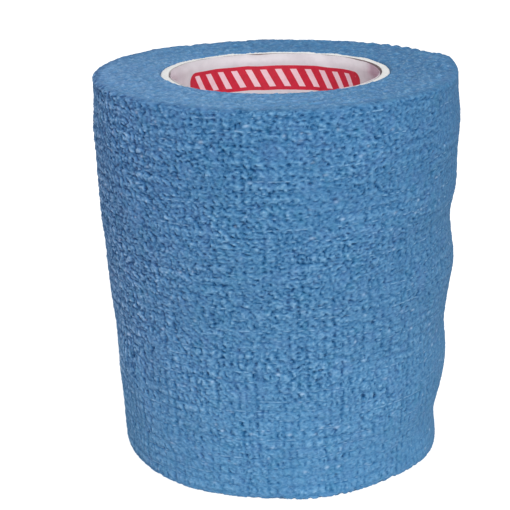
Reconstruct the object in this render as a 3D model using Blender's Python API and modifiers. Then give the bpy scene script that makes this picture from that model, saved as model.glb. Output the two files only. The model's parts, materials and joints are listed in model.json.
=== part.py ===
"""Cohesive bandage roll, standing on its end.

A strip of crinkled elastic cloth is wound on a white card core, and a thin
printed paper lines the core. Metres, +Z up. The origin is at the middle of
the base, on the roll's axis. +X is the right-hand side and -Y is the front.
"""

import math

import bpy

# ---------------------------------------------------------------- dimensions
MM = 0.001

CLOTH_WIDTH = 75.0 * MM          # width of the strip, so the roll's height
NOMINAL_RADIUS = 34.0 * MM       # turned radius, before the winding's unevenness
SHOULDER_TOP = 0.55 * MM         # rounding where the outer turn meets the top end
SHOULDER_BASE = 0.50 * MM        # the same at the base
BORE_LIP = 0.35 * MM             # small rounding at both mouths of the bore

CORE_RADIUS = 22.05 * MM         # outside of the card tube
CORE_WALL = 1.45 * MM
CORE_RECESS = 0.40 * MM          # cloth stands proud of the tube by this at each end
CORE_EDGE = 0.18 * MM            # softened cut edge
CORE_SHIFT = 0.10 * MM           # the tube's bore lies this far off centre, to -X

LINER_THICKNESS = 0.40 * MM
LINER_RECESS = 0.90 * MM         # liner's edge below the tube's rim
LINER_SEAM = 1.4 * MM            # gap between the liner's two cut edges
LINER_SEAM_AT = -75.0            # degrees from +X, on the near side

GAP = 0.30 * MM                  # between two pieces
BORE_RADIUS = CORE_RADIUS + GAP
CORE_BORE = CORE_RADIUS - CORE_WALL
LINER_OUTSIDE = CORE_BORE - GAP

STEPS = 88                       # sides of every turned shape
FLANK_ROWS = 25                  # rings between the two shoulders
SHOULDER_ROWS = 3                # rings in each rounded edge

# Outer radius of the winding in millimetres at each height above the base, in
# the four directions. The strip was wound tighter towards the base, and the
# right-hand side has two soft bulges where turns ride over each other.
OUTLINE_COLUMNS = ("height", "right", "back", "left", "front")
OUTLINE = (
    (0.0, 31.70, 32.20, 31.80, 32.20),
    (6.0, 31.35, 32.45, 32.15, 32.55),
    (13.0, 32.95, 32.80, 32.55, 32.95),
    (20.0, 33.50, 33.25, 32.95, 33.35),
    (26.0, 33.15, 33.60, 33.00, 33.60),
    (33.0, 34.15, 33.95, 33.70, 33.90),
    (38.0, 34.85, 34.30, 34.10, 34.20),
    (43.0, 34.20, 34.60, 34.45, 34.55),
    (48.0, 34.00, 34.85, 34.85, 34.80),
    (53.0, 34.85, 35.10, 35.10, 35.05),
    (60.0, 35.15, 35.45, 35.25, 35.30),
    (66.0, 35.50, 35.75, 35.25, 35.50),
    (71.0, 35.10, 36.05, 35.10, 35.60),
    (75.0, 34.95, 36.20, 35.00, 35.60),
)

# Soft swellings on top of that outline: the direction in degrees from +X, the
# height in millimetres, the reach round the roll in degrees and up and down
# in millimetres, and how far the outer turn stands out at its middle.
SWELL_COLUMNS = ("direction", "height", "reach_round", "reach_up", "out")
SWELLS = (
    (33.0, 75.0, 22.0, 9.0, 0.85),
    (152.0, 75.0, 24.0, 9.0, 0.60),
    (-30.0, 2.0, 18.0, 6.0, 0.45),
    (-72.0, 0.0, 16.0, 7.0, 0.25),
    (118.0, 30.0, 30.0, 12.0, 0.35),
    (215.0, 52.0, 26.0, 14.0, -0.25),
)

# Height of the upper end face above or below the strip's nominal edge, in
# millimetres, across the winding from the bore (0) to the outer turn (1):
# the edges of the turns don't line up exactly.
END_FACE_COLUMNS = ("share", "right", "back", "left", "front")
END_FACE = (
    (0.00, 0.00, 0.00, 0.05, 0.10),
    (0.30, -0.12, -0.05, 0.10, 0.12),
    (0.60, 0.05, -0.10, 0.18, 0.05),
    (0.85, 0.15, -0.05, 0.20, 0.00),
    (1.00, 0.15, -0.05, 0.20, 0.00),
)

COLOURS = {
    "bandage": ((0.070, 0.215, 0.430), 0.92),
    "core": ((0.760, 0.745, 0.700), 0.80),
    "liner": ((0.640, 0.560, 0.570), 0.60),
}


# ------------------------------------------------------------------- helpers
def smooth_between(table, column, at):
    """Value of one column of a table at a position, on a smooth curve through
    its rows (cubic Hermite with finite-difference slopes)."""
    xs = [row[0] for row in table]
    ys = [row[column] for row in table]
    at = min(max(at, xs[0]), xs[-1])
    k = max(i for i in range(len(xs) - 1) if xs[i] <= at)

    def slope(i):
        low, high = max(i - 1, 0), min(i + 1, len(xs) - 1)
        return (ys[high] - ys[low]) / (xs[high] - xs[low])

    step = xs[k + 1] - xs[k]
    t = (at - xs[k]) / step
    return (
        (2 * t**3 - 3 * t**2 + 1) * ys[k]
        + (t**3 - 2 * t**2 + t) * step * slope(k)
        + (3 * t**2 - 2 * t**3) * ys[k + 1]
        + (t**3 - t**2) * step * slope(k + 1)
    )


def by_direction(table, at, angle):
    """A table's value at a position, blended round the axis between its
    right, back, left and front columns."""
    total = 0.0
    for quarter in range(4):
        share = max(math.cos(angle - quarter * math.pi / 2), 0.0) ** 2
        if share:
            total += share * smooth_between(table, quarter + 1, at)
    return total * MM


def swelling(angle, height):
    """How far the swellings push the outer turn out, at a direction and a
    height."""
    total = 0.0
    for direction, middle, reach_round, reach_up, out in SWELLS:
        away = math.degrees(angle) - direction
        away = (away + 180.0) % 360.0 - 180.0
        total += out * math.exp(-((away / reach_round) ** 2) - ((height / MM - middle) / reach_up) ** 2)
    return total * MM


def collection_named(name):
    found = bpy.data.collections.new(name)
    bpy.context.scene.collection.children.link(found)
    return found


def material_named(name):
    colour, roughness = COLOURS[name]
    material = bpy.data.materials.new(name)
    material.use_nodes = True
    shader = next(n for n in material.node_tree.nodes if n.type == "BSDF_PRINCIPLED")
    shader.inputs["Base Color"].default_value = (*colour, 1.0)
    shader.inputs["Roughness"].default_value = roughness
    shader.inputs["Metallic"].default_value = 0.0
    material.diffuse_color = (*colour, 1.0)
    return material


def arc(centre, radius, start, end, rows):
    """Points of a quarter round in the profile's plane, ends included."""
    return [
        (
            centre[0] + radius * math.cos(math.radians(start + (end - start) * i / rows)),
            centre[1] + radius * math.sin(math.radians(start + (end - start) * i / rows)),
        )
        for i in range(rows + 1)
    ]


def profile_object(name, points, closed, collection):
    """A profile in the XZ plane as edges, to be turned round Z."""
    mesh = bpy.data.meshes.new(name)
    edges = [(i, i + 1) for i in range(len(points) - 1)]
    if closed:
        edges.append((len(points) - 1, 0))
    mesh.from_pydata([(r, 0.0, z) for r, z in points], edges, [])
    made = bpy.data.objects.new(name, mesh)
    collection.objects.link(made)
    return made


def turned(made, degrees=360.0):
    """Turns a profile round Z with a Screw modifier."""
    screw = made.modifiers.new("turn", "SCREW")
    screw.axis = "Z"
    screw.angle = math.radians(degrees)
    screw.steps = STEPS
    screw.render_steps = STEPS
    screw.use_merge_vertices = degrees == 360.0
    screw.merge_threshold = 0.0001
    screw.use_smooth_shade = True
    return screw


def applied(made):
    """Replaces an object's mesh by its evaluated one, without modifiers."""
    bpy.context.view_layer.update()
    shown = made.evaluated_get(bpy.context.evaluated_depsgraph_get())
    mesh = bpy.data.meshes.new_from_object(shown)
    old = made.data
    made.modifiers.clear()
    made.data = mesh
    bpy.data.meshes.remove(old)
    mesh.name = made.name
    return mesh


def finished(made, material):
    made.data.materials.clear()
    made.data.materials.append(material)
    made.data.shade_smooth()
    made.data.set_sharp_from_angle(angle=math.radians(40.0))
    return made


# -------------------------------------------------------------------- pieces
def wound_profile():
    """Half section of the winding: down the outer side, in along the base, up
    the bore and out along the upper end face."""
    top, outer = CLOTH_WIDTH, NOMINAL_RADIUS
    shares = [row[0] for row in END_FACE][1:-1]
    inner = BORE_RADIUS + BORE_LIP
    points = arc((inner, top - BORE_LIP), BORE_LIP, 180, 90, 2)
    points += [(BORE_RADIUS + s * (outer - BORE_RADIUS), top) for s in shares]
    points += arc((outer - SHOULDER_TOP, top - SHOULDER_TOP), SHOULDER_TOP, 90, 0, SHOULDER_ROWS)
    low, high = SHOULDER_BASE, top - SHOULDER_TOP
    points += [
        (outer, high + (low - high) * i / (FLANK_ROWS + 1)) for i in range(1, FLANK_ROWS + 1)
    ]
    points += arc((outer - SHOULDER_BASE, SHOULDER_BASE), SHOULDER_BASE, 0, -90, SHOULDER_ROWS)
    points += arc((inner, BORE_LIP), BORE_LIP, -90, -180, 2)
    return points


def wound_cloth(collection):
    made = profile_object("bandage_roll", wound_profile(), True, collection)
    turned(made)
    mesh = applied(made)
    for vertex in mesh.vertices:
        x, y, z = vertex.co
        radius, angle = math.hypot(x, y), math.atan2(y, x)
        share = (radius - BORE_RADIUS) / (NOMINAL_RADIUS - BORE_RADIUS)
        outline = by_direction(OUTLINE, z / MM, angle) + swelling(angle, z)
        moved = BORE_RADIUS + share * (outline - BORE_RADIUS)
        # the end face's unevenness fades out a little way down the flank
        lifted = by_direction(END_FACE, min(max(share, 0.0), 1.0), angle)
        fade = min(max((z - CLOTH_WIDTH + 6 * MM) / (6 * MM), 0.0), 1.0)
        vertex.co = (
            moved * math.cos(angle),
            moved * math.sin(angle),
            z + lifted * fade * fade * (3 - 2 * fade),
        )
    return finished(made, material_named("bandage"))


def card_core(collection):
    low, high = CORE_RECESS, CLOTH_WIDTH - CORE_RECESS
    edge = CORE_EDGE
    points = [
        (CORE_BORE, high - edge),
        (CORE_BORE + edge, high),
        (CORE_RADIUS - edge, high),
        (CORE_RADIUS, high - edge),
        (CORE_RADIUS, low + edge),
        (CORE_RADIUS - edge, low),
        (CORE_BORE + edge, low),
        (CORE_BORE, low + edge),
    ]
    made = profile_object("core_tube", points, True, collection)
    turned(made)
    mesh = applied(made)
    middle = (CORE_RADIUS + CORE_BORE) / 2
    for vertex in mesh.vertices:
        if math.hypot(vertex.co.x, vertex.co.y) < middle:
            vertex.co.x -= CORE_SHIFT
    return finished(made, material_named("core"))


def printed_liner(collection):
    high = CLOTH_WIDTH - CORE_RECESS - LINER_RECESS
    low = CORE_RECESS + LINER_RECESS
    made = profile_object("core_liner", [(LINER_OUTSIDE, high), (LINER_OUTSIDE, low)], False, collection)
    seam = math.degrees(LINER_SEAM / LINER_OUTSIDE)
    turned(made, 360.0 - seam)
    skin = made.modifiers.new("paper", "SOLIDIFY")
    skin.thickness = LINER_THICKNESS
    skin.offset = -1.0
    mesh = applied(made)
    turn = math.radians(LINER_SEAM_AT + seam / 2)
    for vertex in mesh.vertices:
        x, y = vertex.co.x, vertex.co.y
        vertex.co.x = x * math.cos(turn) - y * math.sin(turn) - CORE_SHIFT
        vertex.co.y = x * math.sin(turn) + y * math.cos(turn)
    return finished(made, material_named("liner"))


def build():
    for old in list(bpy.data.objects):
        bpy.data.objects.remove(old, do_unlink=True)
    parts = collection_named("cohesive_bandage_roll")
    wound_cloth(parts)
    card_core(parts)
    printed_liner(parts)
    return parts


build()
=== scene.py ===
"""Looks of the cohesive bandage roll: wound crinkled cloth, card core, printed liner.

Metres, +Z up, the roll's axis at x = y = 0 and its base at z = 0. Sizes below
are in millimetres unless a name says otherwise.
"""

import json
import math

import bpy
import numpy as np
from mathutils import Matrix, Vector

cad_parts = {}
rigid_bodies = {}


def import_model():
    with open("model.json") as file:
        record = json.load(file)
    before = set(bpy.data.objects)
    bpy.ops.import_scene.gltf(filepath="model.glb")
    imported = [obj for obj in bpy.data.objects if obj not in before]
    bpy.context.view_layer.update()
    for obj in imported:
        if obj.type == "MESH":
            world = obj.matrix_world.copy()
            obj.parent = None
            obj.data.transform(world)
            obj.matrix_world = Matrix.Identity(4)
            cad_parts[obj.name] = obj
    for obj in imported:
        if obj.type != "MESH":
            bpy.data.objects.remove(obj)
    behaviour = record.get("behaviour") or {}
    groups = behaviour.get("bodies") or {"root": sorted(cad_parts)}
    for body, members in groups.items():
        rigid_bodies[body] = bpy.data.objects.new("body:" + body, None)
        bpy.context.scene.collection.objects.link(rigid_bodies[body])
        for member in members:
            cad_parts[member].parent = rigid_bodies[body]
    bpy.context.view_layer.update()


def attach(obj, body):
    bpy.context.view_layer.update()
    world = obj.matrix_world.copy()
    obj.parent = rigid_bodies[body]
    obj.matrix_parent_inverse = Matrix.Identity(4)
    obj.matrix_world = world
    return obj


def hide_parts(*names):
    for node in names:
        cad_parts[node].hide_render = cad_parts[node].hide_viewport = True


for old in list(bpy.data.objects):
    bpy.data.objects.remove(old, do_unlink=True)

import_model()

MM = 0.001

# ------------------------------------------------------------------ the frame
CLOTH_WIDTH = 75.0
NOMINAL_RADIUS = 34.0
SHOULDER_TOP, SHOULDER_IN = 0.80, 1.30   # how far the upper edge rounds down and in
SHOULDER_BASE = 0.50
RIM_BAND = 1.9            # crinkled cloth that shows on the end face beyond that
BORE_RADIUS = 22.35
CLOTH_BORE = 22.09        # the cloth grips the card, so it closes the frame's gap
CORE_RADIUS = 22.05
CORE_BORE = 20.60
CORE_RECESS = 0.40
CORE_SHIFT = 0.10
LINER_RECESS = 0.10       # the paper's upper edge, below the card's
LINER_SEAM = 1.4
LINER_SEAM_AT = -75.0

# Outer radius at each height: right, back, left, front.
OUTLINE = np.array((
    (0.0, 31.70, 32.20, 31.80, 32.20),
    (6.0, 31.35, 32.45, 32.15, 32.55),
    (13.0, 32.95, 32.80, 32.55, 32.95),
    (20.0, 33.50, 33.25, 32.95, 33.35),
    (26.0, 33.15, 33.60, 33.00, 33.60),
    (33.0, 34.15, 33.95, 33.70, 33.90),
    (38.0, 34.85, 34.30, 34.10, 34.20),
    (43.0, 34.20, 34.60, 34.45, 34.55),
    (48.0, 34.00, 34.85, 34.85, 34.80),
    (53.0, 34.85, 35.10, 35.10, 35.05),
    (60.0, 35.15, 35.45, 35.25, 35.30),
    (66.0, 35.50, 35.75, 35.25, 35.50),
    (71.0, 35.10, 36.05, 35.10, 35.60),
    (75.0, 34.95, 36.20, 35.00, 35.60),
))

# Soft swellings: direction, height, reach round, reach up, out.
SWELLS = (
    (33.0, 75.0, 22.0, 9.0, 0.85),
    (152.0, 75.0, 24.0, 9.0, 0.60),
    (-30.0, 2.0, 18.0, 6.0, 0.45),
    (-72.0, 0.0, 16.0, 7.0, 0.25),
    (118.0, 30.0, 30.0, 12.0, 0.35),
    (215.0, 52.0, 26.0, 14.0, -0.25),
    (-30.0, 1.0, 13.0, 5.0, 0.40),
    (-112.0, 0.0, 24.0, 3.5, 0.22),
    (-62.0, 0.0, 16.0, 3.5, 0.16),
    (-74.0, 0.0, 11.0, 2.5, 0.60),
    (-128.0, 0.0, 12.0, 3.5, 0.42),
    (-84.0, 0.0, 9.0, 2.5, 0.42),
)

# The cloth's upper edge stands up here and there: direction, reach round, up.
RISES = ((9.0, 11.5, 0.85), (138.0, 30.0, 0.16))

# Height of the upper end face: share across the winding, right, back, left, front.
END_FACE = np.array((
    (0.00, 0.12, -0.20, 0.40, 0.29),
    (0.30, 0.05, -0.08, 0.42, 0.24),
    (0.60, 0.10, -0.08, 0.42, 0.12),
    (0.85, 0.15, -0.03, 0.36, 0.02),
    (1.00, 0.15, -0.05, 0.36, 0.00),
))

# ------------------------------------------------------------------- the cloth
THREAD_PITCH = 1.94       # between two elastic threads, near the base
THREAD_OPENING = 0.28     # and how much further apart they are high up
THREAD_DRIFT = 0.70       # the strip climbs by this in a turn
SLIT_GAP = 1.80           # between upright slits along a row
PIT_GAP = 1.30            # between smaller pinches along a course
TURNS = 14                # wound turns that show on the end faces
TAIL_AT = 98.0            # degrees, where the strip's outer end lies, at the back
TAIL_STEP = 0.50          # how far the strip's end stands over the turn below
PUCKER = 0.165            # height of the crinkle for each unit of relief
UNROLL = 35.0             # radius at which lengths round the flank are measured
SIDE_STRETCH = 0.11
PAINTED_TOP_LIGHT = 0.008           # painted top light: how much paler the upward sides of the folds are painted, and the downward sides darker
ROW_BULGE = 0.62          # how far each row puffs out between its two threads

COLUMNS = 880             # round the flank
FLANK_ROWS = 382
TOP_RINGS = 46
BASE_RINGS = 28


# --------------------------------------------------------------------- helpers
def smoothstep(x, low, high):
    t = np.clip((x - low) / (high - low), 0.0, 1.0)
    return t * t * (3 - 2 * t)


def table_at(table, column, at):
    """Smooth curve through a table's rows, as the frame's solids use it."""
    xs, ys = table[:, 0], table[:, column]
    n = len(xs)
    low, high = np.maximum(np.arange(n) - 1, 0), np.minimum(np.arange(n) + 1, n - 1)
    slope = (ys[high] - ys[low]) / (xs[high] - xs[low])
    at = np.clip(at, xs[0], xs[-1])
    k = np.clip(np.searchsorted(xs, at, side="right") - 1, 0, n - 2)
    step = xs[k + 1] - xs[k]
    t = (at - xs[k]) / step
    return (
        (2 * t**3 - 3 * t**2 + 1) * ys[k]
        + (t**3 - 2 * t**2 + t) * step * slope[k]
        + (3 * t**2 - 2 * t**3) * ys[k + 1]
        + (t**3 - t**2) * step * slope[k + 1]
    )


def by_direction(table, at, angle):
    total = np.zeros(np.broadcast(at, angle).shape)
    for quarter in range(4):
        share = np.maximum(np.cos(angle - quarter * math.pi / 2), 0.0) ** 2
        total = total + share * table_at(table, quarter + 1, at)
    return total


def swelling(angle, height):
    total = np.zeros(np.broadcast(angle, height).shape)
    for direction, middle, reach_round, reach_up, out in SWELLS:
        away = (np.degrees(angle) - direction + 180.0) % 360.0 - 180.0
        total = total + out * np.exp(-((away / reach_round) ** 2) - ((height - middle) / reach_up) ** 2)
    return total


def end_face(angle, share):
    """Height of the upper end face above its nominal plane."""
    total = by_direction(END_FACE, np.clip(share, 0, 1), angle)
    outward = smoothstep(np.asarray(share) + 0 * angle, 0.35, 1.0)
    for direction, reach, up in RISES:
        away = (np.degrees(angle) - direction + 180.0) % 360.0 - 180.0
        total = total + up * np.exp(-((away / reach) ** 2)) * outward
    return total


def core_lift(angle):
    """The card stands a little higher on the left and right."""
    c = np.cos(angle)
    return 0.12 * np.sin(angle) ** 2 + 0.45 * c.clip(None, 0) ** 2 + 0.28 * c.clip(0, None) ** 2


def from_tail(angle):
    """Radians past the strip's outer end, from 0 to a full turn."""
    return (angle - math.radians(TAIL_AT)) % (2 * math.pi)


def way_round(angle):
    """Length along the strip from its outer end. The crinkle is stretched a
    little wider over the roll's left and right sides."""
    side = np.sin(2 * np.asarray(angle)) - math.sin(2 * math.radians(TAIL_AT))
    return UNROLL * (from_tail(angle) - 0.5 * SIDE_STRETCH * side) / (1 + SIDE_STRETCH)


STEP = 0.1092             # mm between points of the random surfaces below
WIDE, HIGH = 2048, 768    # their points round the flank and up it
MARGIN = 30               # points below the base


class Field:
    """A surface over the unrolled flank, read at any place between its points."""

    def __init__(self, values):
        self.values = values

    def at(self, along, up):
        x = np.asarray(along) / STEP
        y = np.asarray(up) / STEP + MARGIN
        i, j = np.floor(x).astype(int), np.floor(y).astype(int)
        fx, fy = x - i, y - j
        v = self.values
        i0, i1 = i % WIDE, (i + 1) % WIDE
        j0, j1 = j % HIGH, (j + 1) % HIGH
        return (
            (v[j0, i0] * (1 - fx) + v[j0, i1] * fx) * (1 - fy)
            + (v[j1, i0] * (1 - fx) + v[j1, i1] * fx) * fy
        )


def waves(seed, weight):
    """Smooth random surface whose waves, in cycles per mm, have the given weight."""
    white = np.random.default_rng(seed).standard_normal((HIGH, WIDE))
    up = np.fft.fftfreq(HIGH, STEP)[:, None]
    along = np.fft.rfftfreq(WIDE, STEP)[None, :]
    made = np.fft.irfft2(np.fft.rfft2(white) * weight(along, up), (HIGH, WIDE))
    return made / made.std()


def ring(middle, spread, lean=0.0, towards=0.0, flat=1.0):
    """Waves of one length in all directions, or more of them across a direction."""

    def weight(along, up):
        size = np.hypot(along * flat, up)
        facing = np.arctan2(up, along * flat) - math.radians(towards)
        return np.exp(-(((size - middle) / spread) ** 2) / 2) * (1 + lean * np.cos(2 * facing))

    return weight


def lines_of_waves(seed, count, middle, spread, alike=0.0):
    """One random line of waves for each row, partly like the row below."""
    white = np.random.default_rng(seed).standard_normal((count, WIDE))
    for k in range(1, count):
        white[k] = alike * white[k - 1] + math.sqrt(1 - alike**2) * white[k]
    weight = np.exp(-(((np.fft.rfftfreq(WIDE, STEP) - middle) / spread) ** 2) / 2)
    made = np.fft.irfft(np.fft.rfft(white, axis=1) * weight, WIDE, axis=1)
    return made / made.std()


def along_line(lines, row, along):
    x = np.asarray(along) / STEP
    i = np.floor(x).astype(int)
    f = x - i
    k = np.clip(row, 0, len(lines) - 1)
    return lines[k, i % WIDE] * (1 - f) + lines[k, (i + 1) % WIDE] * f


# ----------------------------------------------------------- crinkle of the cloth
def thread_heights():
    """Heights of the elastic threads that run round the roll."""
    heights = [-3.0]
    while heights[-1] < CLOTH_WIDTH + 4.0:
        open_up = float(smoothstep(np.array(heights[-1]), 10.0, 60.0))
        heights.append(heights[-1] + THREAD_PITCH + THREAD_OPENING * open_up)
    return np.array(heights)


def evenly(rng, gap, below=None):
    """Places along one row, uneven, and roughly over those of the row below."""
    if below is None:
        places, at = [], 0.0
        while at < WIDE * STEP - 0.6 * gap:
            places.append(at)
            at += max(0.5 * gap, rng.normal(gap, 0.25 * gap))
        return np.array(places)
    places = np.sort((below + rng.normal(0, 0.16, len(below))) % (WIDE * STEP))
    space = np.diff(np.append(places, places[0] + WIDE * STEP))
    added = places[space > 1.75 * gap] + space[space > 1.75 * gap] / 2
    return np.sort(np.append(places[space > 0.5 * gap], added) % (WIDE * STEP))


def pinches(rng, threads, wander, stretch=1.0):
    """Small deep folds where the thread draws the cloth in, and the thin raised
    lip over each: short strokes of all directions high up, mostly upright slits
    low down."""
    pits, lips = np.zeros((HIGH, WIDE)), np.zeros((HIGH, WIDE))

    def stroke(at, height, degrees, long, narrow, depth, lip=0.31):
        height -= wander[int(np.clip(height / STEP + MARGIN, 0, HIGH - 1)), int(at / STEP) % WIDE]
        i0, j0 = int(round(height / STEP + MARGIN)), int(at / STEP)
        if not 11 < i0 < HIGH - 12:
            return
        reach = int(8 * stretch + 0.5)
        rows, columns = np.arange(i0 - 10, i0 + 11), np.arange(j0 - reach, j0 + reach + 1)
        dx, dz = np.meshgrid((columns * STEP - at) / stretch, (rows - MARGIN) * STEP - height)
        c, s = math.cos(math.radians(degrees)), math.sin(math.radians(degrees))
        down = dx * c + dz * s
        across = dz * c - dx * s + 1.0 * rng.normal() * (down**2 - 0.05)
        shape = np.exp(-np.abs(down / long) ** 3 - (across / narrow) ** 2)
        raised = np.exp(-np.abs(down / (1.2 * long)) ** 3 - ((across - lip) / 0.13) ** 2)
        here = np.ix_(rows, columns % WIDE)
        pits[here] = np.maximum(pits[here], depth * shape)
        lips[here] = np.maximum(lips[here], depth * raised)

    slits = evenly(rng, SLIT_GAP)
    for low, high in zip(threads[:-1], threads[1:]):
        pitch = high - low
        regular = float(smoothstep(np.array(46.0 - low), 0.0, 30.0))
        slits = evenly(rng, SLIT_GAP, slits)
        for at in slits[rng.uniform(size=len(slits)) < 0.25 + 0.60 * regular]:
            stroke(at + rng.normal(0, 0.10), low + pitch * rng.normal(0.48, 0.07), rng.normal(-80, 11),
                   rng.uniform(0.34, 0.62), rng.uniform(0.13, 0.18), rng.uniform(0.35, 1.0))
        for course in (0.27, 0.73):
            for at in evenly(rng, PIT_GAP * stretch * (1 + 0.55 * regular)):
                kind = rng.uniform()
                if kind < 0.42 - 0.22 * regular:
                    shape = rng.normal(0, 12), rng.uniform(0.30, 0.70), rng.uniform(0.11, 0.15)
                elif kind < 0.78 - 0.28 * regular:
                    shape = rng.normal(-50, 16), rng.uniform(0.26, 0.56), rng.uniform(0.12, 0.16)
                elif kind < 0.90:
                    shape = rng.normal(-84, 14), rng.uniform(0.22, 0.46), rng.uniform(0.12, 0.16)
                else:
                    shape = rng.normal(50, 16), rng.uniform(0.22, 0.42), rng.uniform(0.12, 0.16)
                stroke(at, low + pitch * course + rng.normal(0, 0.15), *shape,
                       rng.uniform(0.35, 1.0) * (1 - 0.45 * regular))
    return pits, lips


def crinkled():
    """Surfaces over the unrolled outer turn: relief, the same with longer pinches,
    the rows' own bulge, the painted top light that makes the folds paler where they
    face up, how clearly the threads show and where they lie."""
    along, height = np.meshgrid(np.arange(WIDE) * STEP, (np.arange(HIGH) - MARGIN) * STEP)
    regular = smoothstep(46.0 - height, 0.0, 30.0)   # rows read more clearly low down
    broad = waves(13, ring(0.085, 0.045))
    wander = 0.05 * broad + 0.025 * waves(15, ring(0.45, 0.20))
    threads = thread_heights()
    row = np.clip(np.searchsorted(threads, height + wander) - 1, 0, len(threads) - 2)
    pitch = threads[row + 1] - threads[row]
    t = np.clip((height + wander - threads[row]) / pitch, 0.0, 1.0)

    def weight(a, u):
        size, facing = np.hypot(a, u), np.arctan2(u, a) - math.radians(42)
        body = np.exp(-((a / 0.55) ** 2) / 4 - ((u / 0.80) ** 2) / 4)
        return body * (1 - 0.85 * np.exp(-((size / 0.30) ** 2))) * (1 + 0.30 * np.cos(2 * facing))

    loose = waves(11, weight)
    folded = np.clip(0.8 - np.abs(waves(16, ring(0.55, 0.20, lean=-0.25))), -1.2, 0.8)
    fine = waves(12, ring(1.5, 0.50, flat=1.3))

    # rows of bulges with narrow troughs between: one course low down, two high up
    def troughs(lines, k, part, high, slant):
        n = along_line(lines, k, along + slant * (part - 0.5) * high + 0.1 * loose)
        depth = np.minimum(np.maximum(0.0, -n - 0.15), 1.5) - 0.32
        return depth * np.sin(math.pi * part).clip(0, 1) ** 0.7

    slant = 0.35 * (1 - 0.5 * regular) + (0.50 - 0.28 * regular) * broad
    one = troughs(lines_of_waves(41, len(threads), 0.62, 0.20, 0.55), row, t, pitch, slant)
    upper = (t > 0.5).astype(int)
    two = troughs(lines_of_waves(42, 2 * len(threads), 0.67, 0.24, 0.30), 2 * row + upper,
                  2 * t - upper, pitch / 2, 1.3 * slant)
    single = 0.42 + 0.38 * regular
    bulge = np.sin(math.pi * t).clip(0, 1) ** 0.55 - 0.72
    bulge = bulge * (0.8 + 0.45 * waves(18, ring(0.10, 0.06, flat=2.0))).clip(0, 2)
    pits, lips = pinches(np.random.default_rng(7), threads, wander)
    side_pits, side_lips = pinches(np.random.default_rng(9), threads, wander, 1.45)
    # short curved folds, wherever one set of waves crosses its middle
    arcs = np.exp(-((waves(61, ring(0.52, 0.18, lean=0.35, towards=50, flat=1.1)) / 0.42) ** 2))
    arcs = arcs * smoothstep(waves(62, ring(0.62, 0.30)), -0.4, 1.4)

    # the threads themselves, proud of the cloth here and there
    off = np.where(t < 0.5, t, t - 1) * pitch        # mm above the nearest thread
    nearest = row + upper
    shown = 0.70 * along_line(lines_of_waves(22, len(threads) + 1, 0.03, 0.06), nearest, along)
    shown = shown + 0.85 * along_line(lines_of_waves(23, len(threads) + 1, 0.55, 0.35), nearest, along)
    shown = smoothstep(shown, 0.55 - 0.15 * regular, 2.0 - 0.1 * regular)
    thread = shown * np.exp(-((off / 0.11) ** 2))
    under = shown * np.exp(-(((off + 0.28) / 0.14) ** 2))

    # the groove where a thread lies, deep in some stretches and lost in others
    slack = 0.15 + 0.35 * along_line(lines_of_waves(24, len(threads) + 1, 0.06, 0.09), nearest, along)
    slack = slack + 0.80 * along_line(lines_of_waves(25, len(threads) + 1, 0.50, 0.30), nearest, along)
    groove = slack.clip(0, 1.3) * np.exp(-((off / 0.17) ** 2))

    relief = (
        -(0.90 + 0.22 * regular) * (single * one + (1 - single) * two)
        + 0.24 * loose * (1 - 0.30 * regular)
        + 0.28 * folded
        + 0.20 * fine
        - 2.2 * pits + 0.35 * lips
        - 1.15 * arcs
        - 0.40 * groove * (1 - 0.65 * regular)
        + (0.75 * thread - 0.45 * under) * (1 - 0.40 * regular)
    )
    side = 0.92 * (relief + 2.2 * pits - 0.35 * lips) - 3.0 * side_pits + 0.45 * side_lips
    uneven = np.exp(0.10 * waves(14, ring(0.05, 0.03)))
    relief, side = (relief - relief.mean()) * uneven, (side - side.mean()) * uneven
    # painted top light: sides of the folds that face up and to the right are painted paler, those that face down and
    # left darker
    whole = relief + ROW_BULGE * bulge
    slope_light_paint = -(np.roll(whole, -1, 0) - np.roll(whole, 1, 0)) - 0.35 * (np.roll(whole, -1, 1) - np.roll(whole, 1, 1))
    course = 2 * math.pi * t
    return relief, side, bulge, slope_light_paint / (2 * STEP), shown, np.sin(course), np.cos(course)


RELIEF, RELIEF_SIDE, BULGE, PAINTED_SLOPE_LIGHT, SHOWN, COURSE_SIN, COURSE_COS = (Field(values) for values in crinkled())
BROAD = Field(waves(13, ring(0.085, 0.045)))
RAGGED = Field(waves(17, ring(1.15, 0.34)))


def crinkle(angle, height):
    """Relief of the outer turn about its middle, the painted top light that makes
    upward-facing folds paler, and the threads: how clearly they show and the place between two."""
    along = way_round(angle)
    climb = THREAD_DRIFT * (0.5 - from_tail(angle) / (2 * math.pi))
    strength = 1.0 - 0.34 * smoothstep(26.0 - height, 0.0, 22.0)
    right = np.cos(angle - math.radians(-8)).clip(0, 1)
    left = (-np.cos(angle + math.radians(12))).clip(0, 1)
    strength = strength * (1.0 - 0.30 * right**2 - 0.34 * right**5 + 0.22 * left**2)
    rows = ROW_BULGE * (1 + 1.7 * left**2 - 0.25 * right)
    up = height + climb
    side = smoothstep(-np.cos(angle + math.radians(4)), 0.40, 0.85)
    relief = RELIEF.at(along, up) * (1 - side) + RELIEF_SIDE.at(along, up) * side
    relief = relief * strength + BULGE.at(along, up) * rows
    threads = [field.at(along, up) for field in (SHOWN, COURSE_SIN, COURSE_COS)]
    return relief, PAINTED_SLOPE_LIGHT.at(along, up) * strength, threads


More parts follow.
